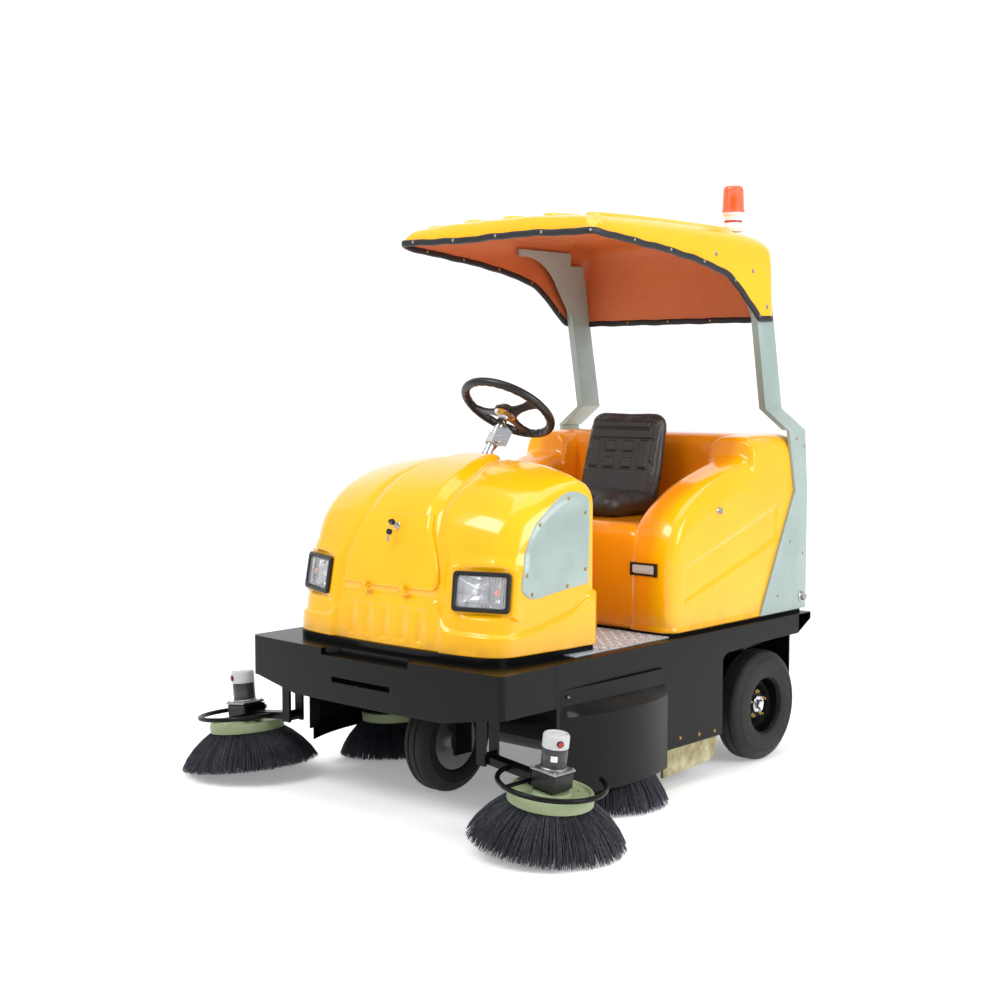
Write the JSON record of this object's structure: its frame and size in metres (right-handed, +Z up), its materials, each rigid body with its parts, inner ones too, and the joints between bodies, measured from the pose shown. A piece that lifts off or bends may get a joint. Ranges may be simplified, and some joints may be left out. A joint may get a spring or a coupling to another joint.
{
  "type": "ride-on street sweeper with a canopy",
  "caption": "Battery ride-on street sweeper with a single steered front wheel, tilted side brushes, main roller brush, rear hopper, seat and roof canopy.",
  "frame": {"origin": "on the ground, under the centre of the footprint", "axes": "+Z up, -Y ahead (front of the machine), +X towards the machine's left side"},
  "size_m": [1.8938, 1.9605, 2.143],
  "materials": {
    "yellow_gelcoat": "glossy sun-yellow glass-fibre gel coat",
    "grey_paint": "satin grey-green paint",
    "black_paint": "satin black paint",
    "black_moulding": "semi-gloss black moulding",
    "tread_plate": "bright five-bar tread plate",
    "tan_rubber": "olive-tan rubber skirt",
    "lamp": "clear lens in a black bezel",
    "vinyl": "black moulded vinyl",
    "battery_case": "plain",
    "chrome": "polished chrome",
    "tyre": "black rubber",
    "front_tyre_rubber": "dark grey solid rubber",
    "rim_black": "gloss black",
    "bristle": "dark slate nylon bristles on a pale green hub",
    "motor": "dark motor body with a grey cap",
    "white_plastic": "white beacon base",
    "amber_lens": "ribbed amber lens",
    "wheel_grip": "black moulded grip"
  },
  "bodies": {
    "chassis": {"battery_pack": "battery_case", "beacon_base": "white_plastic", "beacon_dome": "amber_lens", "broom_housing": "black_paint", "canopy": "yellow_gelcoat", "canopy_pillar_left": "grey_paint", "canopy_pillar_right": "grey_paint", "chassis_frame": "black_paint", "deck_plate": "black_moulding", "dust_skirts": "tan_rubber", "foot_pedals": "rim_black", "front_bumper": "black_moulding", "headlamps": "lamp", "hood": "yellow_gelcoat", "hood_side_panels": "grey_paint", "mid_brush_arm_left": "black_paint", "mid_brush_arm_right": "black_paint", "rear_body": "yellow_gelcoat", "rear_bumper": "black_moulding", "seat": "vinyl", "side_guards": "black_moulding", "side_panel_left": "black_moulding", "side_panel_right": "black_moulding", "steering_column": "chrome", "step_plate": "tread_plate", "stub_axles": "black_paint"},
    "front_lid": {"front_lid": "yellow_gelcoat"},
    "hopper": {"hopper": "black_paint"},
    "steering_wheel": {"steering_wheel": "wheel_grip"},
    "steer_fork": {"steer_fork": "black_paint"},
    "front_wheel": {"front_tyre": "front_tyre_rubber", "front_rim": "rim_black"},
    "rear_wheel_left": {"rear_tyre_left": "tyre", "rear_rim_left": "rim_black"},
    "rear_wheel_right": {"rear_tyre_right": "tyre", "rear_rim_right": "rim_black"},
    "main_brush": {"main_brush": "bristle"},
    "front_brush_arm_left": {"front_brush_arm_left": "black_paint", "front_brush_motor_left": "motor"},
    "front_brush_left": {"front_brush_left": "bristle"},
    "mid_brush_left": {"mid_brush_left": "bristle"},
    "front_brush_arm_right": {"front_brush_arm_right": "black_paint", "front_brush_motor_right": "motor"},
    "front_brush_right": {"front_brush_right": "bristle"},
    "mid_brush_right": {"mid_brush_right": "bristle"}
  },
  "joints": [
    {"name": "steer", "type": "hinge", "parent": "chassis", "child": "steer_fork", "pos_m": [0, -0.433, 0.4], "axis": [0, 0, 1], "range_deg": [-50, 50]},
    {"name": "front_wheel_spin", "type": "hinge", "parent": "steer_fork", "child": "front_wheel", "pos_m": [0, -0.433, 0.178], "axis": [1, 0, 0], "continuous": true},
    {"name": "rear_wheel_left_spin", "type": "hinge", "parent": "chassis", "child": "rear_wheel_left", "pos_m": [0.542, 0.663, 0.205], "axis": [1, 0, 0], "continuous": true},
    {"name": "rear_wheel_right_spin", "type": "hinge", "parent": "chassis", "child": "rear_wheel_right", "pos_m": [-0.542, 0.663, 0.205], "axis": [1, 0, 0], "continuous": true},
    {"name": "steering_wheel_turn", "type": "hinge", "parent": "chassis", "child": "steering_wheel", "pos_m": [0, -0.119, 1.314], "axis": [0, 0.5736, 0.8192], "range_deg": [-300, 300]},
    {"name": "front_lid_hinge", "type": "hinge", "parent": "chassis", "child": "front_lid", "pos_m": [0, -0.737, 0.733], "axis": [1, 0, 0], "range_deg": [0, 95]},
    {"name": "hopper_slide", "type": "slide", "parent": "chassis", "child": "hopper", "axis": [0, 1, 0], "range_m": [0, 0.42]},
    {"name": "main_brush_spin", "type": "hinge", "parent": "chassis", "child": "main_brush", "pos_m": [0, 0.234, 0.15], "axis": [1, 0, 0], "continuous": true},
    {"name": "front_brush_lift_left", "type": "hinge", "parent": "chassis", "child": "front_brush_arm_left", "pos_m": [0.46189, -0.732, 0.24281], "axis": [0, -1, 0], "range_deg": [0, 12]},
    {"name": "front_brush_spin_left", "type": "hinge", "parent": "front_brush_arm_left", "child": "front_brush_left", "pos_m": [0.7, -0.732, 0.03222], "axis": [0.1219, 0, 0.9925], "continuous": true},
    {"name": "mid_brush_spin_left", "type": "hinge", "parent": "chassis", "child": "mid_brush_left", "pos_m": [0.488, -0.189, 0.01769], "axis": [0.0698, 0, 0.9976], "continuous": true},
    {"name": "front_brush_lift_right", "type": "hinge", "parent": "chassis", "child": "front_brush_arm_right", "pos_m": [-0.46189, -0.732, 0.24281], "axis": [0, 1, 0], "range_deg": [0, 12]},
    {"name": "front_brush_spin_right", "type": "hinge", "parent": "front_brush_arm_right", "child": "front_brush_right", "pos_m": [-0.7, -0.732, 0.03222], "axis": [-0.1219, 0, 0.9925], "continuous": true},
    {"name": "mid_brush_spin_right", "type": "hinge", "parent": "chassis", "child": "mid_brush_right", "pos_m": [-0.488, -0.189, 0.01769], "axis": [-0.0698, 0, 0.9976], "continuous": true}
  ],
  "couplings": [
    {"joint": "steering_wheel_turn", "follows": "steer", "ratio": 6}
  ]
}
